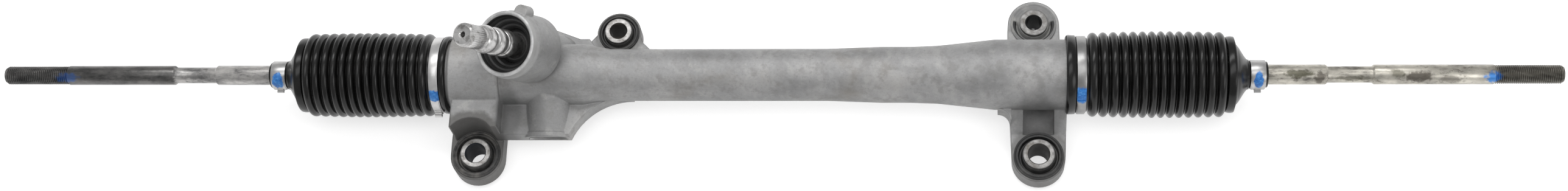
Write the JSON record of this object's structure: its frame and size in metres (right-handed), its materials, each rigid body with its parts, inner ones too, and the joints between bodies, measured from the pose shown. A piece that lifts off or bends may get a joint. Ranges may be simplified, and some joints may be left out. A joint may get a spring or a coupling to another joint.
{
  "type": "rack and pinion steering rack",
  "caption": "Rack and pinion steering gear with cast housing, rubber bushed mounting ears, bellows boots, inner ball joints and threaded tie rods.",
  "frame": {"origin": "axis of the lower left mounting bolt, at the underside of its sleeve, on the mounting plane", "axes": "+X along the rack towards the right tie rod, +Z along the mounting bolts away from the mounting plane, +Y from the lower ears towards the rack"},
  "size_m": [1.1796, 0.1462, 0.1558],
  "materials": {
    "cast_aluminium": "as cast, sand blasted",
    "rack_steel": "ground and oiled",
    "bearing_steel": "polished",
    "spring_steel": "oiled",
    "clamp_steel": "bright zinc plate",
    "sleeve_steel": "grey phosphate",
    "rod_steel_left": "dark oiled forging",
    "rod_steel_right": "stained bare forging",
    "boot_rubber": "glossy black",
    "bush_rubber": "matte, dusty",
    "seal_rubber": "satin black",
    "bearing_plastic": "natural nylon",
    "liner_bronze": "sintered bronze"
  },
  "bodies": {
    "housing": {"rack_housing": "cast_aluminium", "bearing_outer_race": "bearing_steel", "pinion_lower_bearing": "bearing_steel", "bore_snap_ring": "spring_steel", "pinion_seal": "seal_rubber", "rack_guide": "cast_aluminium", "guide_liner": "liner_bronze", "guide_o_ring": "seal_rubber", "guide_spring": "spring_steel", "guide_plug": "clamp_steel", "rack_bush": "bearing_plastic", "sleeve_lower_left": "sleeve_steel", "sleeve_lower_right": "sleeve_steel", "sleeve_upper_right": "sleeve_steel", "sleeve_upper_middle": "sleeve_steel", "rubber_lower_left": "bush_rubber", "rubber_lower_right": "bush_rubber", "rubber_upper_right": "bush_rubber", "rubber_upper_middle": "bush_rubber", "bellows_left": "boot_rubber", "bellows_right": "boot_rubber", "big_clamp_left": "clamp_steel", "big_clamp_right": "clamp_steel"},
    "rack": {"rack_bar": "rack_steel", "lock_washer_left": "clamp_steel", "lock_washer_right": "clamp_steel", "ball_socket_left": "rack_steel", "ball_socket_right": "rack_steel"},
    "pinion": {"pinion_shaft": "rack_steel", "bearing_inner_race": "bearing_steel", "shaft_circlip": "spring_steel"},
    "ball_cage": {"bearing_balls": "bearing_steel", "bearing_cage": "bearing_plastic"},
    "seat_left": {"ball_seat_left": "bearing_plastic"},
    "rod_left": {"tie_rod_left": "rod_steel_left", "small_clamp_left": "clamp_steel"},
    "seat_right": {"ball_seat_right": "bearing_plastic"},
    "rod_right": {"tie_rod_right": "rod_steel_right", "small_clamp_right": "clamp_steel"}
  },
  "joints": [
    {"name": "rack_slide", "type": "slide", "parent": "housing", "child": "rack", "axis": [1, 0, 0], "range_m": [-0.0632, 0.0608], "deforming": ["bellows_left", "bellows_right"]},
    {"name": "pinion_turn", "type": "hinge", "parent": "housing", "child": "pinion", "pos_m": [0.0524, 0.07585, 0.03984], "axis": [-0.309, -0.2701, 0.9119], "range_deg": [-516, 497]},
    {"name": "ball_cage_turn", "type": "hinge", "parent": "housing", "child": "ball_cage", "pos_m": [0.0524, 0.07585, 0.03984], "axis": [-0.309, -0.2701, 0.9119], "range_deg": [-207, 201]},
    {"name": "rod_spin_left", "type": "hinge", "parent": "rack", "child": "seat_left", "pos_m": [-0.0836, 0.0595, 0.035], "axis": [1, 0, 0], "continuous": true},
    {"name": "rod_swing_left", "type": "hinge", "parent": "seat_left", "child": "rod_left", "pos_m": [-0.0836, 0.0595, 0.035], "axis": [0, 1, 0], "range_deg": [-16, 16], "deforming": ["bellows_left"]},
    {"name": "rod_spin_right", "type": "hinge", "parent": "rack", "child": "seat_right", "pos_m": [0.5156, 0.0595, 0.035], "axis": [1, 0, 0], "continuous": true},
    {"name": "rod_swing_right", "type": "hinge", "parent": "seat_right", "child": "rod_right", "pos_m": [0.5156, 0.0595, 0.035], "axis": [0, 1, 0], "range_deg": [-16, 16], "deforming": ["bellows_right"]}
  ],
  "couplings": [
    {"joint": "pinion_turn", "follows": "rack_slide", "rad_per_m": 141.1},
    {"joint": "ball_cage_turn", "follows": "rack_slide", "rad_per_m": 56.098}
  ]
}
